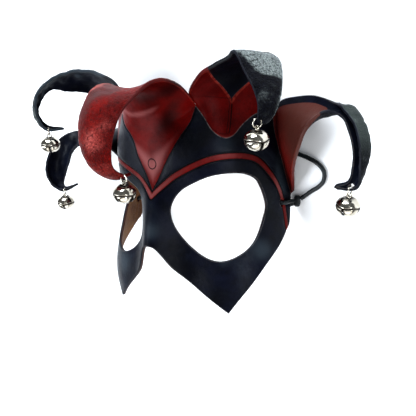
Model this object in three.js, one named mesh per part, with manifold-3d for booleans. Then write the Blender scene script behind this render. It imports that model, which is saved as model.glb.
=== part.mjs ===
import * as THREE from "three";
import { mergeVertices } from "three/addons/utils/BufferGeometryUtils.js";
import Module from "manifold-3d";

// A leather jester mask with five curled horns, a bell on each horn and a tie cord.
// Millimetres. While it is drawn, X is the wearer's left, Y is up the forehead and
// Z is out of the face. At the end it is laid on its back, +Z up, on its own edges.

const wasm = await Module();
wasm.setup();

// Leather
const LEATHER = 2.6;
const TIP_LEATHER = 1.8;
const ROUNDING = 1e4;

// The face form: a rounded cross-section at each height, with a nose ridge
const FACE_LOW = -75;
const FACE_HIGH = 75;
const HALF_WIDTHS = [84.5, 80.5, 75.5, 71.5, 69.5, 66.5];
const DEPTHS = [75.5, 72, 65.5, 68.5, 74, 75.5];
const SQUARENESS = [2.3, 2.75, 2.8, 2.5, 2.4, 2];
const NOSE_RISE = 21.6;
const NOSE_SPREAD = 16.2;
const NOSE_TOP = 9.7;
const NOSE_FADE = 10.8;
// Leather measured across the face, for each degree of turn about the head's axis
const ACROSS_PER_DEGREE = 1.3;

// Half of the flat pattern: across the face from the middle, and height
const NOSE_NOTCH = [0, -22.3];
const WEDGE_TIP = [0, 16.6];
const CENTRE_NOTCH = [36.7, 74.1];
const SIDE_NOTCH = [102.7, 67.5];
const TEMPLE_TOP = [115.7, 5.5];
const TEMPLE_CORNER = [102, -18.5];
const CHEEK_TIP = [50.7, -72.1];
const WEDGE_EDGE = [WEDGE_TIP, [11.3, 35.2], [19, 46.1], [25.6, 54.7], [32.4, 63.5], CENTRE_NOTCH];
const INNER_ROOT = [
  CENTRE_NOTCH, [42, 66.3], [47.5, 56.5], [54.6, 51.3],
  [61.5, 52.6], [70, 60], [81, 66], [91, 68], SIDE_NOTCH,
];
const OUTER_ROOT = [SIDE_NOTCH, [101, 56], [103.5, 42], [109, 27], TEMPLE_TOP];
const TEMPLE_EDGE = [TEMPLE_TOP, [111, -5.2], [106.5, -15], TEMPLE_CORNER];
const CHEEK_EDGE = [TEMPLE_CORNER, [92.5, -26.8], [76.6, -40.1], [60.8, -58.6], CHEEK_TIP];
const NOSE_EDGE = [CHEEK_TIP, [30, -53.3], [17.7, -40.8], [10.4, -29.3], [5.5, -23.7], NOSE_NOTCH];
const EYE_HOLE = [
  [15.1, 1], [16.9, 9.3], [22.1, 15.7], [31.5, 20.5], [44.2, 24.9], [57.2, 26.2],
  [69.6, 24.7], [79.3, 18.5], [84.1, 3.1], [80, -7.7], [71.9, -21.3], [61.6, -29.9],
  [48.5, -34.5], [36.4, -31.6], [25.6, -23], [18.1, -11],
];
const EYE_CENTRE = new THREE.Vector2(48, -2);
const EYE_RINGS = 4;

// Steps along each edge of the half pattern, in order round the eye
const EDGES = [
  { points: [NOSE_NOTCH, WEDGE_TIP], steps: 5 },
  { points: WEDGE_EDGE, steps: 7 },
  { points: INNER_ROOT, steps: 10 },
  { points: OUTER_ROOT, steps: 8 },
  { points: TEMPLE_EDGE, steps: 3 },
  { points: CHEEK_EDGE, steps: 7 },
  { points: NOSE_EDGE, steps: 9 },
];
const WEDGE_STEPS = EDGES[1].steps;
const INNER_STEPS = EDGES[2].steps;
const OUTER_STEPS = EDGES[3].steps;

// Each horn is a strip between two free edges, from the root to the tip. A bow is
// the rise of the middle of the strip over the straight line between its edges.
const CENTRE_HORN = {
  first: [[38.5, 79, 75.5], [38.5, 85.5, 86.5], [36.5, 88.5, 97.5], [32.5, 87, 106.5],
    [26.5, 79, 115], [19, 70, 120.5], [14.5, 58.5, 123.5], [11.5, 47, 124.5], [9.5, 37.5, 122],
    [8.5, 32.5, 113.5], [5.5, 32, 103]],
  second: [[-30, 79, 70], [-26, 84, 76], [-22, 89, 83], [-19.5, 91, 93.5], [-18.5, 88.5, 105],
    [-17.5, 80, 114], [-18, 66.5, 120.5], [-15, 50, 123], [-9.5, 37.5, 120.5], [-1.5, 30.5, 113],
    [5.5, 32, 103]],
  bows: [9.5, 5.6, 4, 4, 0.5, -4.5, -6.5, -6.5, -3.6, -1.6, 0],
};
const INNER_LEFT_HORN = {
  first: [[35.5, 81, 72.5], [48, 91, 77], [61, 95, 80], [72.5, 98.5, 80.5], [79, 101, 83],
    [86, 89.5, 85], [92.5, 79.5, 87], [95.5, 71, 87.5], [94.5, 62.5, 86], [91, 58.5, 79]],
  second: [[68, 86, 19], [70, 98, 26], [76, 103, 35], [83, 102, 46], [93.5, 95.5, 54.5],
    [99.5, 85, 64], [102, 75, 71.5], [101.5, 66.5, 76.5], [97.5, 61, 78.5], [91, 58.5, 79]],
  bows: [-4.7, -1.4, 0.4, 1.2, 1.8, 1.6, 1.3, 0.8, 0.4, 0],
};
const INNER_RIGHT_HORN = {
  first: [[37, 87, 63], [43, 97, 64], [53, 103, 67], [64, 107, 72], [76, 106, 80], [86, 100, 89],
    [93, 90, 95], [96, 77, 94], [95, 66, 88], [89, 66, 76]],
  second: [[73, 78, 18], [80, 86, 25], [86, 91, 36], [92, 94, 49], [98, 95, 62], [102.5, 96.5, 73],
    [104, 89.5, 81.5], [105, 79, 86], [99, 69, 84], [89, 66, 76]],
  bows: [-4.9, -1.7, 0.5, 1.5, 1.8, 1.9, 2.2, 2.4, 1.5, 0],
};
const OUTER_LEFT_HORN = {
  first: [[71.2, 75.5, 8.3], [85, 77, 11], [101, 76, 18], [117.5, 70.5, 28.5], [129, 64, 41],
    [138, 54, 47], [142, 43, 51], [142, 29, 51], [138, 16.5, 46], [122, 16, 41]],
  second: [[86, 26, 26], [97, 42, 40], [105, 55, 44], [116.5, 65, 41], [126.5, 61, 37.5],
    [133, 52, 42], [137, 41, 46], [137.5, 31, 47.5], [133.5, 20, 45], [122, 16, 41]],
  bows: [-5.1, -0.5, 3, 5, 7, 8, 8, 6, 2, 0],
};
const OUTER_RIGHT_HORN = {
  first: [[91, 65, 7.2], [108, 62, 10], [119, 64, 18], [127, 64, 29], [134, 60, 40], [140, 49, 49],
    [142, 34, 55], [138, 21, 56], [130, 13, 51], [120, 17, 41]],
  second: [[79.5, 37.5, 25.5], [80.5, 48.5, 37.5], [90.5, 51, 46], [105.5, 52, 48.5], [118, 46, 47],
    [127, 38, 43], [134, 28, 41], [137, 18, 42], [133, 14, 43], [120, 17, 41]],
  bows: [-7.1, -3.9, 0, 3.3, 5.7, 6.3, 5.5, 4.2, 2, 0],
};
const CENTRE_ROWS = 12;
const SIDE_ROWS = 12;
const WEDGE_ROWS = 3;
const ROOT_LEAD = 10;
const ROOT_DIP = 16;

// Carved lines: a groove on each side of the painted stripe, one on each side of the
// wedge, and a small circle in the wedge
const GROOVE = 0.7;
const STRIPE_HALF_WIDTH = 2.2;
const STRIPE = [
  [0, 12.4], [10.5, 21], [20.7, 27.6], [42.4, 36.4], [60.8, 38.3], [77.6, 35],
  [90.2, 24.6], [99, 12.8], [102.3, -0.5], [102.2, -18.5],
];
const STRIPE_STEPS = 16;
const WEDGE_LINE_INSET = -1.2;
const WEDGE_LINE_STEPS = 6;
const CIRCLE_HEIGHT = 35.4;
const CIRCLE_RADIUS = 3.6;
const CIRCLE_STEPS = 10;
const CUT_TOLERANCE = 0.1;

// Rings and bells. Each ring goes through its horn a few rows short of the tip.
const RING_RADIUS = 2.9;
const WIRE = 0.45;
const WIRE_GAP = 0.48;
const RING_CLEARANCE = 0.98;
const RING_INSET = 2.6;
const RING_SEGMENTS = 12;
const LOOP_RADIUS = 1.6;
const LOOP_SEGMENTS = 7;
const WIRE_SIDES = 4;
const BELL_RADIUS = 7.75;
const BELL_HALF_HEIGHT = 6.3;
const BELL_WALL = 0.7;
const BELL_LOBE = 0.07;
const BELL_SIDES = 12;
const BELL_BANDS = 6;
const HOLLOW_SIDES = 8;
const HOLLOW_BANDS = 3;
const BELL_SLOT = 1.4;
const BELL_SLOT_TOP = -0.5;
const BELL_NECK = 1.1;
const HANG = [-0.21, -0.955, -0.2];

// Tie cord: tied at each temple in a loop through a hole and round the edge, with a
// knot outside the edge. Its route between the knots is given in millimetres on the
// table, once the mask is laid down.
const CORD_RADIUS = 1.6;
const CORD_SIDES = 8;
const CORD_STEPS = 38;
const CORD_HOLE = 2.5;
const CORD_GAP = 0.6;
const TIE_HEIGHT = 0.9;
const TIE_ACROSS = 100;
const LOOP_ACROSS = [103.4, 107, 110];
const HOLE_ACROSS = 100.4;
const TIE_SIDES = 6;
const TIE_STEPS = 18;
const KNOT = [78.2, 0.9, 3.5];
const KNOT_RADII = [2.9, 4.4, 2.9];
const UNDER_EDGE = [[67.2, -1.6, 4], [69.8, -2.8, 2.1], [73.8, -1.8, 1.8]];
const CORD_END = [[81.2, 2.6, 2.8], [84.6, 4.9, 2], [89.6, 8.2, 1.65], [95.2, 11.4, 1.65], [99.7, 16.2, 1.65],
  [100.3, 22.8, 1.65], [96.2, 28.6, 1.65], [88.4, 33.2, 1.65], [77.5, 37.5, 1.65]];
const CORD_MIDDLE = [[64, 43, 1.65], [48, 50, 1.65], [28, 56, 1.65], [6, 53, 1.65], [-14, 46, 1.65],
  [-34, 45, 1.65], [-52, 48, 1.65], [-66, 44, 1.65]];

// Laid down: turned back until the temple edges and the horn roots touch the table,
// at this height, where small flats are worn on them
const LAY_DEGREES = -6;
const TABLE = -0.45;

// Smooth curve through a list of numbers, at a place from 0 to 1
function profile(values, place) {
  const curve = new THREE.SplineCurve(values.map((value, index) => new THREE.Vector2(index, value)));
  return curve.getPoint(THREE.MathUtils.clamp(place, 0, 1)).y;
}

// Point of the grain side of the leather, from the flat pattern
function onFace(across, height) {
  const place = (height - FACE_LOW) / (FACE_HIGH - FACE_LOW);
  const turn = THREE.MathUtils.degToRad(across / ACROSS_PER_DEGREE);
  const power = profile(SQUARENESS, place);
  const sideways = Math.abs(Math.sin(turn) / profile(HALF_WIDTHS, place)) ** power;
  const outwards = Math.abs(Math.cos(turn) / profile(DEPTHS, place)) ** power;
  const radius = (sideways + outwards) ** (-1 / power);
  const x = radius * Math.sin(turn);
  const nose = NOSE_RISE / (1 + Math.exp((height - NOSE_TOP) / NOSE_FADE));
  return new THREE.Vector3(x, height, radius * Math.cos(turn) + nose * Math.exp(-((x / NOSE_SPREAD) ** 2)));
}

function mirrored(point) {
  return new THREE.Vector3(-point.x, point.y, point.z);
}

function flatCurve(points) {
  return new THREE.SplineCurve(points.map(([across, height]) => new THREE.Vector2(across, height)));
}

// The half pattern's outline, as one ring of flat points that starts at the nose notch
function outlineRing() {
  const ring = [];
  const corners = [];
  for (const { points, steps } of EDGES) {
    corners.push(ring.length);
    ring.push(...flatCurve(points).getSpacedPoints(steps).slice(0, steps));
  }
  return { ring, corners };
}

// The eye hole's edge, with its points shared out between the outline's corners
function eyeRing({ ring, corners }) {
  const fine = 720;
  const curve = new THREE.CatmullRomCurve3(
    EYE_HOLE.map(([across, height]) => new THREE.Vector3(across, height, 0)), true, "catmullrom");
  const edge = curve.getSpacedPoints(fine).slice(0, fine);
  const direction = (point) => Math.atan2(point.y - EYE_CENTRE.y, point.x - EYE_CENTRE.x);
  const apart = (a, b) => Math.abs(Math.atan2(Math.sin(a - b), Math.cos(a - b)));
  const places = corners.map((corner) => {
    const wanted = direction(ring[corner]);
    let best = 0;
    edge.forEach((point, index) => {
      if (apart(direction(point), wanted) < apart(direction(edge[best]), wanted)) best = index;
    });
    return best;
  });
  const hole = [];
  corners.forEach((corner, index) => {
    const steps = (corners[index + 1] ?? ring.length) - corner;
    const start = places[index];
    const end = places[(index + 1) % places.length];
    const span = (end - start + fine) % fine;
    for (let step = 0; step < steps; step += 1) {
      hole.push(edge[Math.round(start + (span * step) / steps) % fine]);
    }
  });
  return hole;
}

// Rows of points from the eye hole out to the outline, closed round the eye
function faceGrid(outline, hole) {
  const rows = [];
  for (let row = 0; row <= EYE_RINGS; row += 1) {
    const out = row / EYE_RINGS;
    const points = outline.ring.map((edge, index) => onFace(
      THREE.MathUtils.lerp(hole[index].x, edge.x, out),
      THREE.MathUtils.lerp(hole[index].y, edge.y, out)));
    rows.push([...points, points[0]]);
  }
  return rows;
}

// Control rows of a horn, across the strip from its first edge to its second
function hornRows({ first, second, bows }, root) {
  const ends = first.map((point, index) => [
    new THREE.Vector3(...point), new THREE.Vector3(...second[index]),
  ]);
  const middle = ([a, b]) => a.clone().add(b).multiplyScalar(0.5);
  const middles = [middle([root[0], root.at(-1)]), ...ends.map(middle)];
  return ends.map(([a, b], index) => {
    const along = middles[Math.min(index + 2, ends.length)].clone().sub(middles[index]);
    const up = a.clone().sub(b).cross(along).normalize();
    return root.map((_, column) => {
      const side = (2 * column) / (root.length - 1) - 1;
      return a.clone().lerp(b, (side + 1) / 2).addScaledVector(up, bows[index] * (1 - side * side));
    });
  });
}

// A strip's columns run smoothly through its control rows. The lead row lies on the
// face, inside the root, so that the strip leaves the face without a crease.
function stripGrid(lead, controls, rows) {
  const columns = controls[0].map((_, column) => {
    const points = controls.map((row) => row[column]);
    const last = points.at(-1).clone().multiplyScalar(2).sub(points.at(-2));
    return new THREE.CatmullRomCurve3([lead[column], ...points, last], false, "catmullrom");
  });
  const spans = controls.length + 1;
  const grid = [];
  for (let row = 0; row <= rows; row += 1) {
    const place = (1 + (row / rows) * (controls.length - 1)) / spans;
    grid.push(columns.map((column) => column.getPoint(place)));
  }
  grid[0] = controls[0];
  return grid;
}

// A horn at the side: its root is a stretch of the outline
function sideHornGrid(horn, outline, start, steps, leadAcross, leadHeight) {
  const flat = outline.ring.slice(start, start + steps + 1);
  const root = flat.map((point) => onFace(point.x, point.y));
  const lead = flat.map((point) => onFace(point.x - leadAcross, point.y - leadHeight));
  return stripGrid(lead, [root, ...hornRows(horn, root)], SIDE_ROWS);
}

// The centre horn begins at the wedge, a V on the forehead. The wedge lies on the
// face, up to a root line that dips between the two notches.
function centreHornGrid(outline) {
  const half = outline.ring.slice(EDGES[0].steps, EDGES[0].steps + WEDGE_STEPS + 1);
  const top = half.map((_, index) => {
    const out = index / WEDGE_STEPS;
    return new THREE.Vector2(CENTRE_NOTCH[0] * out, CENTRE_NOTCH[1] - ROOT_DIP * (1 - out * out));
  });
  const both = (flat) => {
    const row = flat.map((point) => onFace(point.x, point.y));
    return [...row].reverse().concat(row.slice(1).map(mirrored));
  };
  const wedge = [];
  for (let row = 0; row < WEDGE_ROWS; row += 1) {
    wedge.push(both(half.map((point, index) => point.clone().lerp(top[index], row / WEDGE_ROWS))));
  }
  const root = both(top);
  const lead = both(top.map((point) => new THREE.Vector2(point.x, point.y - ROOT_LEAD)));
  const horn = stripGrid(lead, [root, ...hornRows(CENTRE_HORN, root)], CENTRE_ROWS);
  return [...wedge, ...horn].map((row) => row.reverse());
}

function mirroredGrid(grid) {
  return grid.map((row) => row.map(mirrored).reverse());
}

// Joins grids of points at their shared edges into one sheet, and gives it thickness
// behind its grain side. Each grid comes with a thickness for each of its rows.
function leatherSolid(grids) {
  const places = new Map();
  const points = [];
  const depths = [];
  const corners = [];
  const pointOf = (point, depth) => {
    const key = [point.x, point.y, point.z].map((value) => Math.round(value * ROUNDING) + 0).join();
    if (!places.has(key)) {
      places.set(key, points.length);
      points.push(point);
      depths.push(depth);
    }
    return places.get(key);
  };
  for (const { grid, depth } of grids) {
    const rows = grid.map((row, index) => row.map((point) => pointOf(point, depth(index / (grid.length - 1)))));
    for (let row = 0; row + 1 < rows.length; row += 1) {
      for (let column = 0; column + 1 < rows[row].length; column += 1) {
        const a = rows[row][column];
        const b = rows[row][column + 1];
        const c = rows[row + 1][column + 1];
        const d = rows[row + 1][column];
        corners.push([a, b, c], [a, c, d]);
      }
    }
  }
  const faces = corners.filter(([a, b, c]) => a !== b && b !== c && c !== a);
  const normals = points.map(() => new THREE.Vector3());
  for (const [a, b, c] of faces) {
    const normal = points[b].clone().sub(points[a]).cross(points[c].clone().sub(points[a]));
    [a, b, c].forEach((index) => normals[index].add(normal));
  }
  const backs = points.map((point, index) => (
    point.clone().addScaledVector(normals[index].normalize(), -depths[index])));
  const open = new Map();
  for (const [a, b, c] of faces) {
    for (const [from, to] of [[a, b], [b, c], [c, a]]) {
      if (!open.delete(`${to},${from}`)) open.set(`${from},${to}`, [from, to]);
    }
  }
  const count = points.length;
  const triangles = faces.concat(faces.map(([a, b, c]) => [a + count, c + count, b + count]));
  for (const [from, to] of open.values()) {
    triangles.push([to, from, from + count], [to, from + count, to + count]);
  }
  return solidFrom(points.concat(backs).flatMap((point) => point.toArray()), triangles.flat());
}

function solidFrom(vertices, triangles) {
  return new wasm.Manifold(new wasm.Mesh({
    numProp: 3,
    vertProperties: new Float32Array(vertices),
    triVerts: new Uint32Array(triangles),
  }));
}

// A three.js geometry as a solid for joining and cutting
function solidOf(geometry) {
  const bare = geometry.clone();
  bare.deleteAttribute("normal");
  bare.deleteAttribute("uv");
  const merged = mergeVertices(bare, 1 / ROUNDING);
  return solidFrom(merged.attributes.position.array, merged.index.array);
}

function geometryOf(solid) {
  const { vertProperties, triVerts } = solid.getMesh();
  const geometry = new THREE.BufferGeometry();
  geometry.setAttribute("position", new THREE.BufferAttribute(new Float32Array(vertProperties), 3));
  geometry.setIndex(new THREE.BufferAttribute(new Uint32Array(triVerts), 1));
  return geometry;
}

function vector([x, y, z]) {
  return new THREE.Vector3(x, y, z);
}

// A closed tube of few sides along points in space
function tube(points, radius, sides, steps) {
  const section = new THREE.Shape(Array.from({ length: sides }, (_, side) => {
    const turn = (2 * Math.PI * side) / sides;
    return new THREE.Vector2(radius * Math.cos(turn), radius * Math.sin(turn));
  }));
  const path = new THREE.CatmullRomCurve3(points, false, "centripetal");
  return new THREE.ExtrudeGeometry(section, { steps, extrudePath: path });
}

// A line on the grain side, beside a curve of the flat pattern
function faceLine(points, aside, steps) {
  const curve = flatCurve(points);
  return Array.from({ length: steps + 1 }, (_, step) => {
    const at = curve.getPointAt(step / steps);
    const along = curve.getTangentAt(step / steps);
    return onFace(Math.max(at.x - aside * along.y, 0), at.y + aside * along.x);
  });
}

// The grooves' cutters, each a thin rod half sunk in the leather
function grooveCutters() {
  const lines = [
    faceLine(STRIPE, STRIPE_HALF_WIDTH, STRIPE_STEPS),
    faceLine(STRIPE, -STRIPE_HALF_WIDTH, STRIPE_STEPS),
    faceLine(WEDGE_EDGE, WEDGE_LINE_INSET, WEDGE_LINE_STEPS),
  ];
  const rods = lines.flatMap((line) => [line, line.map(mirrored)]).map((points) => (
    tube(points, GROOVE, 4, points.length - 1)));
  const centre = onFace(0, CIRCLE_HEIGHT);
  const circle = new THREE.TorusGeometry(CIRCLE_RADIUS, GROOVE, 4, CIRCLE_STEPS);
  return [...rods, circle.translate(centre.x, centre.y, centre.z)];
}

// Where a ring goes through a horn: near one edge of the strip, close to the tip
function ringPlace({ grid, row, edge }) {
  const strip = edge === "first" ? grid[row] : [...grid[row]].reverse();
  let left = RING_INSET;
  let index = 0;
  while (strip[index].distanceTo(strip[index + 1]) < left) {
    left -= strip[index].distanceTo(strip[index + 1]);
    index += 1;
  }
  const step = strip[index].distanceTo(strip[index + 1]);
  const pierced = strip[index].clone().lerp(strip[index + 1], left / step);
  const column = edge === "first" ? index : grid[row].length - 1 - index;
  const down = vector(HANG).normalize();
  const along = grid[row + 1][column].clone().sub(grid[row - 1][column]).normalize();
  const axis = along.addScaledVector(down, -along.dot(down)).normalize();
  const outwards = strip[0].clone().sub(pierced).normalize();
  const lean = outwards.addScaledVector(axis, -outwards.dot(axis)).add(down).normalize();
  return { centre: pierced.addScaledVector(lean, RING_RADIUS), axis, down };
}

// A wire ring round an axis
function ringGeometry(radius, wire, segments, axis, centre) {
  const ring = new THREE.TorusGeometry(radius, wire, WIRE_SIDES, segments);
  const facing = new THREE.Quaternion().setFromUnitVectors(new THREE.Vector3(0, 0, 1), axis);
  return ring.applyQuaternion(facing).translate(centre.x, centre.y, centre.z);
}

// A squat round form about Z, pressed into four lobes
function bellForm(radius, halfHeight, sides, bands, lobe) {
  const rim = Array.from({ length: bands + 1 }, (_, band) => {
    const rise = Math.PI * (band / bands - 0.5);
    const wide = band === 0 || band === bands ? 0 : Math.cos(rise);
    return new THREE.Vector2(radius * wide, halfHeight * Math.sin(rise));
  });
  const form = new THREE.LatheGeometry(rim, sides).rotateX(Math.PI / 2);
  const points = form.attributes.position;
  for (let index = 0; index < points.count; index += 1) {
    const turn = Math.atan2(points.getY(index), points.getX(index));
    const scale = 1 - lobe * (1 - Math.abs(Math.sin(2 * turn)));
    points.setXY(index, points.getX(index) * scale, points.getY(index) * scale);
  }
  return solidOf(form);
}

// A hollow bell that hangs along -Z from a wire loop, with a cross of slots below
function bellGeometry() {
  const shell = bellForm(BELL_RADIUS, BELL_HALF_HEIGHT, BELL_SIDES, BELL_BANDS, BELL_LOBE);
  const hollow = bellForm(
    BELL_RADIUS - BELL_WALL, BELL_HALF_HEIGHT - BELL_WALL, HOLLOW_SIDES, HOLLOW_BANDS, BELL_LOBE);
  const slot = new THREE.BoxGeometry(BELL_SLOT, 2 * BELL_RADIUS + 1, BELL_HALF_HEIGHT);
  slot.translate(0, 0, BELL_SLOT_TOP - BELL_HALF_HEIGHT / 2);
  const loop = ringGeometry(
    LOOP_RADIUS, WIRE, LOOP_SEGMENTS, new THREE.Vector3(0, 1, 0),
    new THREE.Vector3(0, 0, BELL_HALF_HEIGHT + BELL_NECK));
  const cross = solidOf(slot).add(solidOf(slot.clone().rotateZ(Math.PI / 2)));
  return geometryOf(shell.subtract(hollow).subtract(cross).add(solidOf(loop)).simplify(CUT_TOLERANCE));
}

// The temple's grain side at the tie's height, and the way out of the leather there
function temple(across) {
  const point = onFace(across, TIE_HEIGHT);
  const along = onFace(across + 1, TIE_HEIGHT).sub(onFace(across - 1, TIE_HEIGHT)).normalize();
  return { point, along, out: new THREE.Vector3(-along.z, 0, along.x) };
}

function cordHole() {
  const { point, out } = temple(HOLE_ACROSS);
  const hole = new THREE.CylinderGeometry(CORD_HOLE, CORD_HOLE, 4 * LEATHER, CORD_SIDES);
  hole.applyQuaternion(new THREE.Quaternion().setFromUnitVectors(new THREE.Vector3(0, 1, 0), out));
  return hole.translate(point.x, point.y, point.z);
}

// Turns a point of the drawing to where it lies, over the table
const laying = new THREE.Matrix4().makeRotationX(THREE.MathUtils.degToRad(LAY_DEGREES));
laying.premultiply(new THREE.Matrix4().makeTranslation(0, 0, -TABLE));

// The left tie, laid down: the cord's loop through the temple, and its knot
function tieGeometry() {
  const clear = CORD_RADIUS + CORD_GAP;
  const beside = (across, offset) => {
    const { point, out } = temple(across);
    return point.addScaledVector(out, offset).applyMatrix4(laying);
  };
  const [turn, ...strand] = LOOP_ACROSS;
  const middle = -LEATHER / 2;
  const half = (clear - middle) * Math.SQRT1_2;
  const shoulder = THREE.MathUtils.lerp(turn, TIE_ACROSS, Math.SQRT1_2);
  const points = [
    vector(KNOT),
    ...[...strand].reverse().map((across) => beside(across, clear)),
    beside(turn, clear),
    beside(shoulder, middle + half),
    beside(TIE_ACROSS, middle),
    beside(shoulder, middle - half),
    beside(turn, -LEATHER - clear),
    ...strand.slice(0, 1).map((across) => beside(across, -LEATHER - clear)),
    ...UNDER_EDGE.map(vector),
    vector(KNOT),
  ];
  const loop = solidOf(tube(points, CORD_RADIUS, TIE_SIDES, TIE_STEPS));
  const knot = new THREE.SphereGeometry(1, 8, 5).scale(...KNOT_RADII).translate(...KNOT);
  return geometryOf(loop.add(solidOf(knot)).simplify(CUT_TOLERANCE));
}

const outline = outlineRing();
const face = faceGrid(outline, eyeRing(outline));
const innerGrid = (horn) => sideHornGrid(horn, outline, outline.corners[2], INNER_STEPS, 0, ROOT_LEAD);
const outerGrid = (horn) => sideHornGrid(horn, outline, outline.corners[3], OUTER_STEPS, ROOT_LEAD, 0);
const horns = {
  centre: { grid: centreHornGrid(outline), row: WEDGE_ROWS + CENTRE_ROWS - 1, edge: "second" },
  inner_left: { grid: innerGrid(INNER_LEFT_HORN), row: SIDE_ROWS - 1, edge: "first" },
  inner_right: { grid: mirroredGrid(innerGrid(INNER_RIGHT_HORN)), row: SIDE_ROWS - 1, edge: "second" },
  outer_left: { grid: outerGrid(OUTER_LEFT_HORN), row: SIDE_ROWS - 1, edge: "first" },
  outer_right: { grid: mirroredGrid(outerGrid(OUTER_RIGHT_HORN)), row: SIDE_ROWS - 1, edge: "second" },
};

const blackLeather = new THREE.MeshStandardMaterial({ color: 0x16181e, roughness: 0.5, metalness: 0 });
const nickel = new THREE.MeshStandardMaterial({ color: 0xd8d2c8, roughness: 0.12, metalness: 1 });
const lace = new THREE.MeshStandardMaterial({ color: 0x101216, roughness: 0.6, metalness: 0 });

const group = new THREE.Group();

function place(name, geometry, material) {
  const mesh = new THREE.Mesh(geometry, material.clone());
  mesh.name = name;
  group.add(mesh);
}

const fullDepth = () => LEATHER;
const hornDepth = (out) => THREE.MathUtils.lerp(LEATHER, TIP_LEATHER, out);
let leather = leatherSolid([
  { grid: face, depth: fullDepth },
  { grid: mirroredGrid(face), depth: fullDepth },
  ...Object.values(horns).map(({ grid }) => ({ grid, depth: hornDepth })),
]);
const hole = solidOf(cordHole());
leather = leather.subtract(hole).subtract(hole.mirror([1, 0, 0]));
for (const cutter of grooveCutters()) leather = leather.subtract(solidOf(cutter));

for (const [name, horn] of Object.entries(horns)) {
  const { centre, axis, down } = ringPlace(horn);
  const room = ringGeometry(RING_RADIUS, RING_CLEARANCE, RING_SEGMENTS, axis, centre);
  leather = leather.subtract(solidOf(room));
  const ring = ringGeometry(RING_RADIUS, WIRE, RING_SEGMENTS, axis, centre);
  place(`ring_${name}`, ring.applyMatrix4(laying), nickel);
  const up = down.clone().negate();
  const across = new THREE.Vector3().crossVectors(up, axis);
  const drop = RING_RADIUS + LOOP_RADIUS - 2 * WIRE - WIRE_GAP + BELL_NECK + BELL_HALF_HEIGHT;
  const hung = new THREE.Matrix4().makeBasis(axis, across, up);
  hung.setPosition(centre.clone().addScaledVector(down, drop));
  place(`bell_${name}`, bellGeometry().applyMatrix4(hung).applyMatrix4(laying), nickel);
}
const table = new THREE.BoxGeometry(400, 400, 20).translate(0, 0, -10);
leather = solidOf(geometryOf(leather).applyMatrix4(laying)).subtract(solidOf(table));
leather = leather.simplify(CUT_TOLERANCE);
place("mask_leather", geometryOf(leather), blackLeather);

const box = new THREE.Box3().setFromObject(group);
const tie = tieGeometry();
place("tie_left", tie, lace);
place("tie_right", geometryOf(solidOf(tie).mirror([1, 0, 0])), lace);
const otherEnd = CORD_END.map(([x, y, z]) => [-x, y, z]).reverse();
const route = [...CORD_END, ...CORD_MIDDLE, ...otherEnd].map(vector);
place("tie_cord", tube(route, CORD_RADIUS, CORD_SIDES, CORD_STEPS), lace);

// The origin is under the middle of the mask, on the table
const centre = box.getCenter(new THREE.Vector3());
for (const mesh of group.children) mesh.geometry.translate(-centre.x, -centre.y, 0);

export default group;
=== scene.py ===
import math

import bmesh
import bpy
import numpy as np
from numpy.linalg import norm
from mathutils import Matrix, Vector
from mathutils.kdtree import KDTree


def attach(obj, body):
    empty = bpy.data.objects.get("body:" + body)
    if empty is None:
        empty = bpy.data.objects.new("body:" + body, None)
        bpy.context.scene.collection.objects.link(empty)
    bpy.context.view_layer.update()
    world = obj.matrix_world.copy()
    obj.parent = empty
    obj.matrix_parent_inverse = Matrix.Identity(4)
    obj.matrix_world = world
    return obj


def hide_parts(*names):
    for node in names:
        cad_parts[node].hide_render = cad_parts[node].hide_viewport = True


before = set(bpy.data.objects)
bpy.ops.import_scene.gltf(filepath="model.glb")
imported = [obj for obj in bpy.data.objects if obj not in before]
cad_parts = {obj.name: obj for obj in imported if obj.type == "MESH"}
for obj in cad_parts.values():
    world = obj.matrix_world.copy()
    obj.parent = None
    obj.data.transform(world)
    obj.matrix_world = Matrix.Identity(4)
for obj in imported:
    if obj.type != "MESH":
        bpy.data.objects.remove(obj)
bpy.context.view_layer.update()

# A leather jester mask with five curled horns, lying face up. Shapes are drawn in
# millimetres with X to the wearer's left, Y up the forehead and Z out of the face,
# then laid down on the table and scaled to metres.
MM = 0.001
LAY_TURN = math.radians(-6)
TABLE = -0.45
CENTRE = (0.9892, 25.5649)
LAYING = (Matrix.Translation((-CENTRE[0], -CENTRE[1], -TABLE)) @ Matrix.Rotation(LAY_TURN, 4, "X"))

# Camera, in the drawing's frame
CAMERA_AT = (249.0, 56.6, 357.2)
CAMERA_RIGHT = (0.817, -0.059, -0.573)
CAMERA_UP = (-0.036, 0.987, -0.154)
CAMERA_BACK = (0.575, 0.146, 0.805)
FOCAL_PIXELS = 522.6
FRAME_PIXELS = 416
SENSOR = 36

# Leather, and the face's cross-sections at even heights from FACE_LOW to FACE_HIGH
LEATHER = 2.6
TIP_LEATHER = 1.8
FACE_LOW = -75
FACE_HIGH = 75
HALF_WIDTHS = [84.5, 80.5, 75.5, 71.5, 69.5, 66.5]
DEPTHS = [75.5, 72, 65.5, 68.5, 74, 75.5]
SQUARENESS = [2.3, 2.75, 2.8, 2.5, 2.4, 2]
NOSE_RISE = 21.6
NOSE_SPREAD = 16.2
NOSE_TOP = 9.7
NOSE_FADE = 10.8

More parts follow.
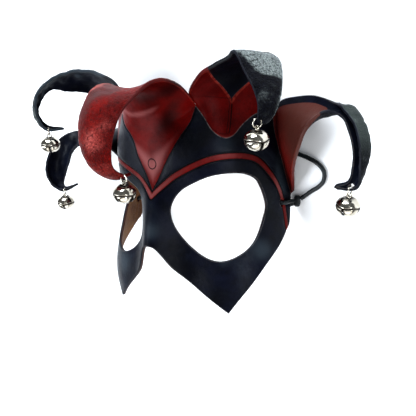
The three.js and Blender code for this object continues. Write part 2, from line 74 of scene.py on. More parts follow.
# Flat pattern of the face's left half: across and height, unrolled
ACROSS_PER_DEGREE = 1.3
NOSE_NOTCH = [0, -22.3]
WEDGE_TIP = [0, 16.6]
CENTRE_NOTCH = [36.7, 74.1]
SIDE_NOTCH = [102.7, 67.5]
TEMPLE_TOP = [115.7, 5.5]
TEMPLE_CORNER = [102, -18.5]
CHEEK_TIP = [50.7, -72.1]
WEDGE_EDGE = [WEDGE_TIP, [11.3, 35.2], [19, 46.1], [25.6, 54.7], [32.4, 63.5], CENTRE_NOTCH]
INNER_ROOT = [
    CENTRE_NOTCH, [42, 66.3], [47.5, 56.5], [54.6, 51.3],
    [61.5, 52.6], [70, 60], [81, 66], [91, 68], SIDE_NOTCH,
]
OUTER_ROOT = [SIDE_NOTCH, [101, 56], [103.5, 42], [109, 27], TEMPLE_TOP]
TEMPLE_EDGE = [TEMPLE_TOP, [111, -5.2], [106.5, -15], TEMPLE_CORNER]
CHEEK_EDGE = [TEMPLE_CORNER, [92.5, -26.8], [76.6, -40.1], [60.8, -58.6], CHEEK_TIP]
NOSE_EDGE = [CHEEK_TIP, [30, -53.3], [17.7, -40.8], [10.4, -29.3], [5.5, -23.7], NOSE_NOTCH]
EYE_HOLE = [
    [15.1, 1], [16.9, 9.3], [22.1, 15.7], [31.5, 20.5], [44.2, 24.9], [57.2, 26.2],
    [69.6, 24.7], [79.3, 18.5], [84.1, 3.1], [80, -7.7], [71.9, -21.3], [61.6, -29.9],
    [48.5, -34.5], [36.4, -31.6], [25.6, -23], [18.1, -11],
]
EYE_CENTRE = [48, -2]
EDGES = [
    ([NOSE_NOTCH, WEDGE_TIP], 5), (WEDGE_EDGE, 7), (INNER_ROOT, 10), (OUTER_ROOT, 8),
    (TEMPLE_EDGE, 3), (CHEEK_EDGE, 7), (NOSE_EDGE, 9),
]

# Horns: both edges from the first row past the root to the tip, and how far each row bows
CENTRE_HORN = dict(
    first=[[38.5, 79, 75.5], [38.5, 85.5, 86.5], [36.5, 88.5, 97.5], [32.5, 87, 106.5],
           [26.5, 79, 115], [19, 70, 120.5], [14.5, 58.5, 123.5], [11.5, 47, 124.5],
           [9.5, 37.5, 122], [8.5, 32.5, 113.5], [5.5, 32, 103]],
    second=[[-30, 79, 70], [-26, 84, 76], [-22, 89, 83], [-19.5, 91, 93.5], [-18.5, 88.5, 105],
           [-17.5, 80, 114], [-18, 66.5, 120.5], [-15, 50, 123], [-9.5, 37.5, 120.5],
           [-1.5, 30.5, 113], [5.5, 32, 103]],
    bows=[9.5, 5.6, 4, 4, 0.5, -4.5, -6.5, -6.5, -3.6, -1.6, 0])
INNER_LEFT_HORN = dict(
    first=[[35.5, 81, 72.5], [48, 91, 77], [61, 95, 80], [72.5, 98.5, 80.5], [79, 101, 83],
           [86, 89.5, 85], [92.5, 79.5, 87], [95.5, 71, 87.5], [94.5, 62.5, 86], [91, 58.5, 79]],
    second=[[68, 86, 19], [70, 98, 26], [76, 103, 35], [83, 102, 46], [93.5, 95.5, 54.5],
           [99.5, 85, 64], [102, 75, 71.5], [101.5, 66.5, 76.5], [97.5, 61, 78.5], [91, 58.5, 79]],
    bows=[-4.7, -1.4, 0.4, 1.2, 1.8, 1.6, 1.3, 0.8, 0.4, 0])
INNER_RIGHT_HORN = dict(
    first=[[37, 87, 63], [43, 97, 64], [53, 103, 67], [64, 107, 72], [76, 106, 80], [86, 100, 89],
           [93, 90, 95], [96, 77, 94], [95, 66, 88], [89, 66, 76]],
    second=[[73, 78, 18], [80, 86, 25], [86, 91, 36], [92, 94, 49], [98, 95, 62], [102.5, 96.5, 73],
           [104, 89.5, 81.5], [105, 79, 86], [99, 69, 84], [89, 66, 76]],
    bows=[-4.9, -1.7, 0.5, 1.5, 1.8, 1.9, 2.2, 2.4, 1.5, 0])
OUTER_LEFT_HORN = dict(
    first=[[71.2, 75.5, 8.3], [85, 77, 11], [101, 76, 18], [117.5, 70.5, 28.5], [129, 64, 41],
           [138, 54, 47], [142, 43, 51], [142, 29, 51], [138, 16.5, 46], [122, 16, 41]],
    second=[[86, 26, 26], [97, 42, 40], [105, 55, 44], [116.5, 65, 41], [126.5, 61, 37.5],
           [133, 52, 42], [137, 41, 46], [137.5, 31, 47.5], [133.5, 20, 45], [122, 16, 41]],
    bows=[-5.1, -0.5, 3, 5, 7, 8, 8, 6, 2, 0])
OUTER_RIGHT_HORN = dict(
    first=[[91, 65, 7.2], [108, 62, 10], [119, 64, 18], [127, 64, 29], [134, 60, 40], [140, 49, 49],
           [142, 34, 55], [138, 21, 56], [130, 13, 51], [120, 17, 41]],
    second=[[79.5, 37.5, 25.5], [80.5, 48.5, 37.5], [90.5, 51, 46], [105.5, 52, 48.5],
           [118, 46, 47], [127, 38, 43], [134, 28, 41], [137, 18, 42], [133, 14, 43], [120, 17, 41]],
    bows=[-7.1, -3.9, 0, 3.3, 5.7, 6.3, 5.5, 4.2, 2, 0])

# Rows and rings that the leather is laid out in, and the steps between them
CENTRE_ROWS = 12
SIDE_ROWS = 12
WEDGE_ROWS = 3
ROOT_LEAD = 10
ROOT_DIP = 16
EYE_RINGS = 4
FINE = 6
RING_FINE = 7

# Carving and paint
STRIPE = [
    [0, 12.4], [10.5, 21], [20.7, 27.6], [42.4, 36.4], [60.8, 38.3], [77.6, 35],
    [90.2, 24.6], [99, 12.8], [102.3, -0.5], [102.2, -18.5],
]
STRIPE_PAINT = 1.95
STRIPE_GROOVE = 2.5
STRIPE_CUT = 0.3
BORDER_GROOVE = 0.7
BORDER_CUT = 0.25
GROOVE_SPREAD = 0.8
CREASE_CUT = 0.45
CREASE_PAIR = -2.2
CIRCLE_HEIGHT = 35.4
CIRCLE_RADIUS = 3.6
LINE_STEPS = 160

# How far the wedge's red stops short of its edge on the wearer's right, and where it does so most
RED_SHORT = 6.5
RED_SHORT_RISE = 0.68
RED_SHORT_SPREAD = 0.22

# Rings and bells
RING_RADIUS = 2.9
WIRE = 0.45
WIRE_GAP = 0.48
WIRE_POINTS = 40
RING_INSET = 2.6
RING_HOLE_RADIUS = 1.2
LOOP_RADIUS = 1.6
BELL_RADIUS = 7.75
BELL_HALF_HEIGHT = 6.3
BELL_WALL = 0.7
BELL_NECK = 1.1
BELL_SEAM = 1.2
BELL_SLOT = 1.5
BELL_SLOT_TOP = 0.6
BELL_PINCH = 0.075
BELL_SEAM_WAVE = 0.35
BELL_RIDGE = 0.2
BELL_RIDGE_UP = 0.6
BELL_GROOVE = 0.6
BELL_GROOVE_DOWN = 0.3
BELL_DISH = 0.9
BELL_DISH_RADIUS = 2.4
HANG = (-0.21, -0.955, -0.2)

# Cord and ties
CORD_RADIUS = 1.6
CORD_GAP = 0.6
TIE_HEIGHT = 0.9
TIE_ACROSS = 100
TIE_HOLE_ACROSS = 100.4
TIE_HOLE_RADIUS = 2.4
LOOP_ACROSS = [103.4, 107, 110]
KNOT = [78.2, 0.9, 3.5]
KNOT_TURNS = 2.2
KNOT_LENGTH = 2.4
KNOT_HALF_WIDTH = 2.9
KNOT_HALF_HEIGHT = 1.35
STRAND_POINTS = 90
CORD_POINTS = 260
UNDER_EDGE = [[67.2, -1.6, 4], [69.8, -2.8, 2.1], [73.8, -1.8, 1.8]]
CORD_END = [[81.2, 2.6, 2.8], [84.6, 4.9, 2], [89.6, 8.2, 1.65], [95.2, 11.4, 1.65], [99.7, 16.2, 1.65],
            [100.3, 22.8, 1.65], [96.2, 28.6, 1.65], [88.4, 33.2, 1.65], [77.5, 37.5, 1.65]]
CORD_MIDDLE = [[64, 43, 1.65], [48, 50, 1.65], [28, 56, 1.65], [6, 53, 1.65], [-14, 46, 1.65],
               [-34, 45, 1.65], [-52, 48, 1.65], [-66, 44, 1.65]]


def hermite(start, leaving, end, arriving, w):
    """Smooth steps from start to end that leave and arrive along two tangents."""
    return ((2 * w**3 - 3 * w**2 + 1) * start + (w**3 - 2 * w**2 + w) * leaving
            + (-2 * w**3 + 3 * w**2) * end + (w**3 - w**2) * arriving)


def led_on(points):
    """The points with one more at each end, straight on."""
    return np.concatenate([[2 * points[0] - points[1]], points, [2 * points[-1] - points[-2]]])


def length_along(line):
    """The length from a line's start to each of its points."""
    return np.concatenate([[0], np.cumsum(norm(np.diff(line, axis=0), axis=1))])


def at_length(line, length, wanted):
    return np.stack([np.interp(wanted, length, line[:, axis]) for axis in range(3)], -1)


def unit(vector):
    return vector / max(norm(vector), 1e-9)


def units(vectors):
    return vectors / np.maximum(norm(vectors, axis=1), 1e-9)[:, None]


def spline(points, places, ends="kept"):
    """Points on a smooth curve, at places from 0 to 1. Its ends are kept, led on or closed."""
    points = np.asarray(points, float)
    places = np.atleast_1d(np.asarray(places, float))
    if ends == "closed":
        count = len(points)
        at = (places % 1.0) * count
        index = np.floor(at).astype(int) % count
        corners = [points[(index + step) % count] for step in (-1, 0, 1, 2)]
    else:
        count = len(points) - 1
        at = np.clip(places, 0, 1) * count
        index = np.minimum(np.floor(at).astype(int), count - 1)
        long = np.concatenate([points[:1], points, points[-1:]]) if ends == "kept" else led_on(points)
        corners = [long[index + step] for step in range(4)]
    weight = (at - np.floor(at)) if ends == "closed" else (at - index)
    weight = weight.reshape(weight.shape + (1,) * (points.ndim - 1))
    before, start, end, after = corners
    return hermite(start, (end - before) / 2, end, (after - start) / 2, weight)


def spaced(points, steps, ends="kept"):
    """Points at even distances along a curve."""
    places = np.linspace(0, 1, 401)
    length = length_along(spline(points, places, ends))
    wanted = np.linspace(0, length[-1], steps + 1)
    return spline(points, np.interp(wanted, length, places), ends)


def on_face(flat):
    """Grain side of the leather, from points of the flat pattern."""
    across, height = np.moveaxis(np.asarray(flat, float), -1, 0)
    place = ((height - FACE_LOW) / (FACE_HIGH - FACE_LOW)).ravel()
    turn = np.radians(across / ACROSS_PER_DEGREE)
    power, wide, deep = (spline(values, place).reshape(across.shape)
                         for values in (SQUARENESS, HALF_WIDTHS, DEPTHS))
    radius = (np.abs(np.sin(turn) / wide) ** power + np.abs(np.cos(turn) / deep) ** power) ** (-1 / power)
    x = radius * np.sin(turn)
    nose = NOSE_RISE / (1 + np.exp((height - NOSE_TOP) / NOSE_FADE))
    return np.stack([x, height, radius * np.cos(turn) + nose * np.exp(-((x / NOSE_SPREAD) ** 2))], -1)


MIRROR = np.array([-1.0, 1.0, 1.0])


def outline_ring():
    ring = []
    corners = []
    for points, steps in EDGES:
        corners.append(len(ring))
        ring.extend(spaced(points, steps * FINE)[:-1])
    return np.array(ring), corners


def round_eye(points):
    x, y = (points - EYE_CENTRE).T
    return np.arctan2(y, x)


def eye_ring(ring, corners):
    """The eye hole's points, one for each point of the outline."""
    count = 720
    edge = spaced(EYE_HOLE, count, "closed")[:-1]
    apart = round_eye(edge) - round_eye(ring[corners])[:, None]
    places = np.abs(np.arctan2(np.sin(apart), np.cos(apart))).argmin(1)
    hole = []
    for corner, after, start, end in zip(corners, [*corners[1:], len(ring)], places, np.roll(places, -1)):
        steps = after - corner
        at = start + (end - start) % count * np.arange(steps) / steps
        low = np.floor(at).astype(int)
        share = (at - low)[:, None]
        hole.extend(edge[low % count] * (1 - share) + edge[(low + 1) % count] * share)
    return np.array(hole)


def face_grid(ring, hole):
    out = np.linspace(0, 1, EYE_RINGS * RING_FINE + 1)[:, None, None]
    flat = hole * (1 - out) + ring * out
    flat = np.concatenate([flat, flat[:, :1]], 1)
    return on_face(flat), flat


def horn_rows(horn, root):
    """Each row runs from one edge of the horn to the other and bows out of its plane."""
    first = np.array(horn["first"], float)
    second = np.array(horn["second"], float)
    middles = np.concatenate([[(root[0] + root[-1]) / 2], (first + second) / 2])
    side = np.linspace(-1, 1, len(root))[:, None]
    rows = []
    for index, (a, b) in enumerate(zip(first, second)):
        along = middles[min(index + 2, len(first))] - middles[index]
        up = unit(np.cross(a - b, along))
        rows.append(a + (b - a) * (side + 1) / 2 + up * horn["bows"][index] * (1 - side**2))
    return rows


def strip_grid(lead, controls, rows):
    """A strip's columns run smoothly through its control rows."""
    controls = np.array(controls)
    points = np.concatenate([[lead], led_on(controls)[1:]])
    spans = len(controls) + 1
    places = (1 + np.linspace(0, 1, rows * FINE + 1) * (len(controls) - 1)) / spans
    grid = spline(points, places, "led")
    grid[0] = controls[0]
    return grid, np.linspace(0, len(controls) - 1, rows * FINE + 1)


def side_horn_grid(horn, ring, start, steps, lead):
    flat = ring[start:start + steps * FINE + 1]
    root = on_face(flat)
    return strip_grid(on_face(flat - lead), [root, *horn_rows(horn, root)], SIDE_ROWS)


def centre_horn_grid(ring):
    start = EDGES[0][1] * FINE
    steps = EDGES[1][1] * FINE
    half = ring[start:start + steps + 1]
    out = np.linspace(0, 1, steps + 1)
    top = np.stack([CENTRE_NOTCH[0] * out, CENTRE_NOTCH[1] - ROOT_DIP * (1 - out**2)], 1)

    def both(flat):
        row = on_face(flat)
        return np.concatenate([row[::-1], row[1:] * MIRROR])

    rises = np.arange(WEDGE_ROWS * FINE) / (WEDGE_ROWS * FINE)
    flats = [half * (1 - rise) + top * rise for rise in rises]
    wedge = [both(flat) for flat in flats]
    root = both(top)
    controls = [root, *horn_rows(CENTRE_HORN, root)]
    grid, row_at = strip_grid(both(top - [0, ROOT_LEAD]), controls, CENTRE_ROWS)
    grid = np.concatenate([wedge, grid])
    flats = np.array([np.concatenate([flat[::-1], flat[1:]]) for flat in flats])
    return grid[:, ::-1], np.concatenate([rises - 1, row_at]), flats[:, ::-1]


def apart_from(points, line):
    """Distance from flat points to a line of flat points."""
    points = points.reshape(-1, 2)
    line = np.asarray(line, float)
    best = np.full(len(points), 1e9)
    for a, b in zip(line[:-1], line[1:]):
        along = b - a
        share = np.clip(((points - a) @ along) / (along @ along), 0, 1)[:, None]
        best = np.minimum(best, norm(points - a - share * along, axis=1))
    return best


def apart_from_edge(points, edge):
    return apart_from(points, spaced(edge, LINE_STEPS))


class Sheet:
    """Grids of points joined at their shared edges, with values at each point."""

    def __init__(self):
        self.points = []
        self.values = []
        self.faces = []
        self.count = 0

    def add(self, grid, depth, values):
        rows, columns = grid.shape[:2]
        index = self.count + np.arange(rows * columns).reshape(rows, columns)
        corners = (index[:-1, :-1], index[:-1, 1:], index[1:, 1:], index[1:, :-1])
        self.faces.append(np.stack([corner.ravel() for corner in corners], 1))
        self.points.append(grid.reshape(-1, 3))
        self.values.append({name: np.broadcast_to(value, (rows, columns)).ravel()
                            for name, value in (values | {"depth": depth}).items()})
        self.count += rows * columns

    def joined(self):
        points = np.concatenate(self.points)
        faces = np.concatenate(self.faces)
        keys = np.round(points * 500).astype(np.int64)
        _, first, back = np.unique(keys, axis=0, return_index=True, return_inverse=True)
        values = {name: np.concatenate([block[name] for block in self.values])[first]
                  for name in self.values[0]}
        return points[first], back.ravel()[faces], values


def drawn(points):
    """Drawing millimetres to metres where the mask lies."""
    turn = np.array(LAYING.to_3x3())
    return (np.asarray(points, float) @ turn.T + np.array(LAYING.translation)) * MM


def laid(points):
    """Millimetres over the table, before the origin moves under the leather, to metres."""
    return (np.asarray(points, float) - [CENTRE[0], CENTRE[1], 0]) * MM


scene = bpy.context.scene


def in_scene(name, data):
    """A new object with that mesh, curve, light or camera."""
    thing = bpy.data.objects.new(name, data)
    scene.collection.objects.link(thing)
    return thing


def mesh_object(name, points, faces, materials, smooth=True):
    mesh = bpy.data.meshes.new(name)
    mesh.from_pydata([tuple(p) for p in points], [], [tuple(int(i) for i in f) for f in faces])
    for material in materials:
        mesh.materials.append(material)
    mesh.polygons.foreach_set("use_smooth", [smooth] * len(mesh.polygons))
    mesh.validate()
    return in_scene(name, mesh)


# Camera
camera = in_scene("camera", bpy.data.cameras.new("camera"))
scene.camera = camera
axes = Matrix((CAMERA_RIGHT, CAMERA_UP, CAMERA_BACK)).transposed()
turned = (LAYING.to_3x3() @ axes).to_quaternion().to_matrix().to_4x4()
camera.matrix_world = Matrix.Translation(Vector(drawn(CAMERA_AT))) @ turned
camera.data.sensor_width = SENSOR
camera.data.lens = FOCAL_PIXELS / FRAME_PIXELS * SENSOR
camera.data.clip_start = 0.01


# Materials
class Nodes:
    """A short way to write a material's nodes."""

    def __init__(self, name):
        self.material = bpy.data.materials.new(name)
        self.material.use_nodes = True
        self.tree = self.material.node_tree

    def add(self, kind, **settings):
        node = self.tree.nodes.new("ShaderNode" + kind)
        for key, value in settings.items():
            setattr(node, key, value)
        return node

    def put(self, value, socket):
        if isinstance(value, bpy.types.NodeSocket):
            self.tree.links.new(value, socket)
        else:
            socket.default_value = value

    def fill(self, node, **sockets):
        for name, value in sockets.items():
            self.put(value, node.inputs[name.replace("_", " ")])

    def value(self, name):
        return self.add("Attribute", attribute_name=name).outputs["Fac"]

    def math(self, operation, a, b=0, c=0):
        node = self.add("Math", operation=operation)
        for value, socket in zip((a, b, c), node.inputs):
            self.put(value, socket)
        return node.outputs[0]

    def plus(self, a, b):
        return self.math("ADD", a, b)

    def times(self, a, b):
        return self.math("MULTIPLY", a, b)

    def ramp(self, value, low, high, to_low=0, to_high=1):
        node = self.add("MapRange", interpolation_type="SMOOTHSTEP")
        for number, entry in enumerate((value, low, high, to_low, to_high)):
            self.put(entry, node.inputs[number])
        return node.outputs[0]

    def place(self):
        return self.add("TexCoord").outputs["Object"]

    def noise(self, scale, detail=3.0, rough=0.55, stretch=None, warp=0):
        place = self.place()
        if stretch:
            mapping = self.add("Mapping")
            self.fill(mapping, Vector=place, Scale=stretch)
            place = mapping.outputs[0]
        node = self.add("TexNoise")
        self.fill(node, Vector=place, Scale=scale, Detail=detail, Roughness=rough, Distortion=warp)
        return node.outputs["Fac"]

    def cells(self, scale):
        """Distance from the edges of small uneven cells."""
        node = self.add("TexVoronoi", feature="DISTANCE_TO_EDGE")
        self.fill(node, Vector=self.place(), Scale=scale)
        return node.outputs["Distance"]

    def away(self, point):
        """Distance from a place in metres."""
        node = self.add("VectorMath", operation="DISTANCE")
        self.put(self.place(), node.inputs[0])
        self.put(tuple(point), node.inputs[1])
        return node.outputs["Value"]

    def line(self, distance, middle, half):
        """1 on a line at that distance, fading to 0 on both sides."""
        off = self.math("ABSOLUTE", self.math("SUBTRACT", distance, middle))
        return self.ramp(off, 0.35 * half, half, 1, 0)

    def most(self, *values):
        best = values[0]
        for value in values[1:]:
            best = self.math("MAXIMUM", best, value)
        return best

    def mix(self, share, a, b):
        node = self.add("Mix", data_type="RGBA", clamp_factor=True)
        self.put(share, node.inputs[0])
        self.put(a, node.inputs[6])
        self.put(b, node.inputs[7])
        return node.outputs[2]

    def bump(self, height, distance, strength=1, normal=None):
        node = self.add("Bump")
        self.fill(node, Strength=strength, Distance=distance, Height=height)
        if normal is not None:
            self.fill(node, Normal=normal)
        return node.outputs[0]

    def set(self, **sockets):
        self.fill(self.tree.nodes["Principled BSDF"], **sockets)


def colour(red, green, blue):
    """Linear colour of an sRGB one given from 0 to 255."""
    def straight(value):
        value /= 255
        return value / 12.92 if value <= 0.04045 else ((value + 0.055) / 1.055) ** 2.4
    return (straight(red), straight(green), straight(blue), 1)


# The pale black is random haze and painted sheen; the pale red is the stripe's paler paint and painted
# sheen; the dark red is flecks and painted shade.
BLACK_DEEP = colour(5, 6, 12)
BLACK_LIGHT = colour(12, 15, 29)
BLACK_HAZE_AND_SHEEN = colour(44, 51, 58)
RED_DARK = colour(30, 2, 3)
RED_DEEP = colour(66, 4, 4)
RED_LIGHT = colour(98, 10, 8)
RED_PALE_AND_SHEEN = colour(128, 72, 71)
# RED_DULL is the outer horn's browner red, which further from its root is painted sheen.
RED_DULL = colour(74, 40, 34)


def dyed_leather(n):
    """Black and red paint of the grain side, paler, darker or duller where the values say so: paler tone
    is partly painted sheen, darker tone partly painted shade.
    """
    wander = n.math("MULTIPLY_ADD", n.noise(900, 2), 0.5, -0.25)
    red = n.ramp(n.plus(n.value("red"), wander), -0.15, 0.15)
    cloud = n.ramp(n.noise(42, 4, 0.6), 0.32, 0.7)
    fleck = n.ramp(n.noise(650, 3, 0.7), 0.5, 0.75)
    haze = n.ramp(n.noise(28, 5, 0.65, warp=0.6), 0.5, 0.8, 0, 0.5)
    black = n.mix(haze, n.mix(cloud, BLACK_DEEP, BLACK_LIGHT), BLACK_HAZE_AND_SHEEN)
    reds = n.mix(cloud, RED_DEEP, RED_LIGHT)
    reds = n.mix(n.times(fleck, 0.35), reds, RED_DARK)
    blur = n.math("MULTIPLY_ADD", n.noise(120, 4, 0.65), 0.24, -0.12)
    tone = n.plus(n.value("tone"), n.ramp(n.value("stripe"), 1.3, 2.0, 0.28, 0))
    # Paler tone mixes in painted sheen, darker tone painted shade.
    pale = n.ramp(n.plus(tone, blur), 0.1, 1)
    deep = n.ramp(n.math("SUBTRACT", blur, tone), 0.1, 0.9, 0, 0.9)
    reds = n.mix(pale, reds, RED_PALE_AND_SHEEN)
    reds = n.mix(deep, reds, RED_DARK)
    reds = n.mix(n.ramp(n.plus(n.value("dull"), blur), 0, 1), reds, RED_DULL)
    black = n.mix(pale, black, BLACK_HAZE_AND_SHEEN)
    return n.mix(red, black, reds)


def carved_lines_and_crease_shade(n):
    """The lines cut beside the stripe and the wedge and the circle, and the crease's two lines, which are
    painted shade in the fold.
    """
    middle = drawn(on_face([0, CIRCLE_HEIGHT]))
    circle = n.times(n.away(middle), 1 / MM)
    crease = n.value("crease")
    return n.most(
        n.line(n.value("stripe"), STRIPE_GROOVE, 0.8),
        n.line(n.value("border"), BORDER_GROOVE, 0.75),
        n.line(circle, CIRCLE_RADIUS, 0.55),
        # The crease's lines are painted shade.
        n.line(crease, 0, 0.5),
        n.times(n.line(crease, CREASE_PAIR, 0.4), 0.5))


def grain_material():
    """Dyed leather with hand-painted red parts and carved lines."""
    n = Nodes("leather_grain")
    paint = dyed_leather(n)
    cut = carved_lines_and_crease_shade(n)
    # Cut lines blackened, and the crease's lines painted shade.
    paint = n.mix(n.times(cut, 0.88), paint, colour(5, 4, 6))
    scuff = n.noise(380, 3, 0.7)
    # Worn paint along the rims, a painted highlight along the folds at the horns' roots and a light line
    # along the inner horns' V, all lightened to the bare colours.
    wear_and_fold_highlight = n.most(n.ramp(n.value("rim"), 0.2, 1.1, 0.9, 0), n.line(n.value("fold"), 0, 0.9))
    wear_and_fold_highlight = n.times(wear_and_fold_highlight, n.ramp(scuff, 0.3, 0.62, 0.1, 0.6))
    bare = n.mix(n.ramp(n.value("red"), -0.2, 0.2), colour(104, 98, 96), colour(150, 58, 46))
    paint = n.mix(wear_and_fold_highlight, paint, bare)
    rough = n.ramp(n.noise(200, 4, 0.6), 0.2, 0.8, 0.3, 0.43)
    pores = n.times(n.ramp(n.cells(1100), 0, 0.25), 0.25)
    fine = n.plus(n.noise(700, 4, 0.6), pores)
    normal = n.bump(n.noise(95, 4, 0.55), 0.0012, 0.3)
    normal = n.bump(fine, 0.00016, 0.5, normal)
    normal = n.bump(n.math("SUBTRACT", 1, cut), 0.0005, 1, normal)
    gloss = n.ramp(n.value("dull"), 0, 1, 0.095, 0.02)
    shine = n.ramp(n.value("red"), -0.2, 0.2, gloss, 0.05)
    n.set(Base_Color=paint, Roughness=rough, Normal=normal, Specular_IOR_Level=shine)
    return n.material


def back_material():
    """The flesh side: natural tan inside the face, dry-brushed black or pebbled red on the horns; part of
    the dry-brush and the red's paler and darker patches are painted sheen and shade.
    """
    n = Nodes("leather_back")
    nap = n.noise(650, 4, 0.75)
    cloud = n.noise(45, 4, 0.6)
    tone = n.value("tone")
    pebble = n.ramp(n.math("MULTIPLY_ADD", n.noise(900, 3, 0.7), 0.25, n.cells(640)), 0.1, 0.42)
    tan = n.mix(n.ramp(cloud, 0.3, 0.7), colour(84, 56, 38), colour(120, 88, 62))
    tan = n.mix(n.ramp(nap, 0.4, 0.8, 0, 0.5), tan, colour(60, 38, 25))
    ragged = n.plus(n.value("brush"), n.math("MULTIPLY_ADD", n.noise(130, 4, 0.7), 1.1, -0.55))
    tops = n.ramp(n.noise(620, 4, 0.85), 0.38, 0.62)
    grip = n.math("MULTIPLY_ADD", pebble, 0.3, n.times(tops, 0.62))
    silver_and_sheen = n.times(grip, n.ramp(ragged, 0.1, 0.9))
    black = n.mix(n.ramp(nap, 0.35, 0.7), colour(5, 5, 9), colour(13, 14, 24))
    black = n.mix(n.ramp(tone, 0, 1, 0, 0.9), black, colour(58, 64, 62))
    # Silver dry-brush mixed in, partly painted sheen.
    black = n.mix(silver_and_sheen, black, colour(150, 158, 156))
    blur = n.math("MULTIPLY_ADD", n.noise(170, 4, 0.7), 0.9, -0.45)
    red = n.mix(n.ramp(cloud, 0.38, 0.62), colour(80, 6, 4), colour(116, 12, 7))
    # Paler tone on the red back is painted sheen, darker tone painted shade.
    red = n.mix(n.ramp(n.plus(tone, blur), 0.2, 1.1), red, colour(172, 86, 80))
    red = n.mix(n.ramp(n.math("SUBTRACT", blur, tone), 0.1, 0.9), red, colour(58, 12, 9))
    dots = n.ramp(n.noise(430, 3, 0.85), 0.52, 0.62, 0, 0.9)
    pits = n.times(n.math("SUBTRACT", 1, pebble), 0.5)
    red = n.mix(n.most(dots, pits), red, colour(44, 5, 5))
    dyed = n.mix(n.value("red"), black, red)
    covered = n.ramp(n.plus(n.value("painted"), n.times(nap, 0.2)), 0.4, 0.7)
    paint = n.mix(covered, tan, dyed)
    height = n.plus(n.times(nap, 0.6), pebble)
    normal = n.bump(n.noise(120, 4, 0.6), 0.001, 0.4)
    normal = n.bump(height, 0.0004, 0.7, normal)
    n.set(Base_Color=paint, Roughness=n.ramp(cloud, 0.2, 0.8, 0.38, 0.55), Normal=normal,
          Specular_IOR_Level=0.055)
    return n.material


def edge_material():
    """The cut edge: dyed like the face next to it, browner towards the flesh side."""
    n = Nodes("leather_edge")
    fibre = n.noise(900, 4, 0.7, stretch=(1, 1, 2.0))
    raw = n.mix(n.ramp(fibre, 0.35, 0.7), colour(40, 20, 14), colour(88, 50, 34))
    bare = n.math("SUBTRACT", n.value("depth_share"), n.times(n.value("painted"), 0.7))
    share = n.ramp(n.math("MULTIPLY_ADD", fibre, 0.4, bare), 0.45, 1, 0, 0.8)
    n.set(Base_Color=n.mix(share, dyed_leather(n), raw), Roughness=0.5, Normal=n.bump(fibre, 0.0002, 0.6),
          Specular_IOR_Level=0.2)
    return n.material


def nickel_material():
    """Worn nickel plate, dark in the slots, the seam and round the loop: partly tarnish, partly painted
    shade in the hollows, and round the loop also a painted dark reflection of the leather above.
    """
    n = Nodes("polished_nickel")
    clean = n.mix(n.ramp(n.noise(220, 4, 0.6), 0.3, 0.7), colour(180, 173, 158), colour(210, 204, 192))
    tarnish_and_shade = n.times(n.value("tarnish_and_shade"), n.ramp(n.noise(900, 3, 0.7), 0.2, 0.6, 0.7, 1))
    n.set(Base_Color=n.mix(tarnish_and_shade, clean, colour(26, 16, 13)), Metallic=1,
          Roughness=n.ramp(tarnish_and_shade, 0, 1, 0.13, 0.5), Normal=n.bump(n.noise(260, 3), 0.0006, 0.3))
    return n.material


def lace_material():
    n = Nodes("leather_lace")
    cloud = n.noise(150, 4, 0.6)
    normal = n.bump(n.noise(700, 4, 0.6), 0.0003, 0.6)
    n.set(Base_Color=n.mix(n.ramp(cloud, 0.3, 0.7), colour(9, 12, 14), colour(26, 34, 38)),
          Roughness=n.ramp(cloud, 0.2, 0.8, 0.35, 0.5), Normal=normal, Specular_IOR_Level=0.35)
    return n.material


grain = grain_material()
back = back_material()
edge = edge_material()
nickel = nickel_material()
lace = lace_material()


def strand_route(points, count):
    """Even points along a strand that doesn't overshoot between close points, and its length."""
    points = np.asarray(points, float)
    long = led_on(points)
    every = []
    for index in range(len(points) - 1):
        p0, p1, p2, p3 = long[index:index + 4]
        d0, d1, d2 = (max(norm(b - a) ** 0.5, 1e-4) for a, b in ((p0, p1), (p1, p2), (p2, p3)))
        leaving = ((p1 - p0) / d0 - (p2 - p0) / (d0 + d1) + (p2 - p1) / d1) * d1
        arriving = ((p2 - p1) / d1 - (p3 - p1) / (d1 + d2) + (p3 - p2) / d2) * d1
        every.append(hermite(p1, leaving, p2, arriving, np.linspace(0, 1, 25)[:-1, None]))
    line = np.concatenate([*every, points[-1:]])
    length = length_along(line)
    return at_length(line, length, np.linspace(0, length[-1], count)), length[-1]


def round_curve(name, points, radius, material, closed=False):
    """A round strand along points in metres."""
    data = bpy.data.curves.new(name, "CURVE")
    data.dimensions = "3D"
    data.bevel_depth = radius
    data.bevel_resolution = 4
    data.use_fill_caps = True
    strand = data.splines.new("POLY")
    strand.points.add(len(points) - 1)
    for point, knot in zip(points, strand.points):
        knot.co = (*point, 1)
    strand.use_cyclic_u = closed
    strand.use_smooth = True
    data.materials.append(material)
    return in_scene(name, data)


def as_mesh(strands):
    """Strands turned into one mesh."""
    bpy.ops.object.select_all(action="DESELECT")
    for strand in strands:
        strand.select_set(True)
    bpy.context.view_layer.objects.active = strands[0]
    bpy.ops.object.convert(target="MESH")
    if len(strands) > 1:
        bpy.ops.object.join()
    return bpy.context.view_layer.objects.active


# The tie cord and its two ties
def temple(across):
    """A place on the temple at the tie's height, and the direction straight out of the leather."""
    before, point, after = on_face([[across + step, TIE_HEIGHT] for step in (-1, 0, 1)])
    along = unit(after - before)
    return point, np.array([-along[2], 0, along[0]])


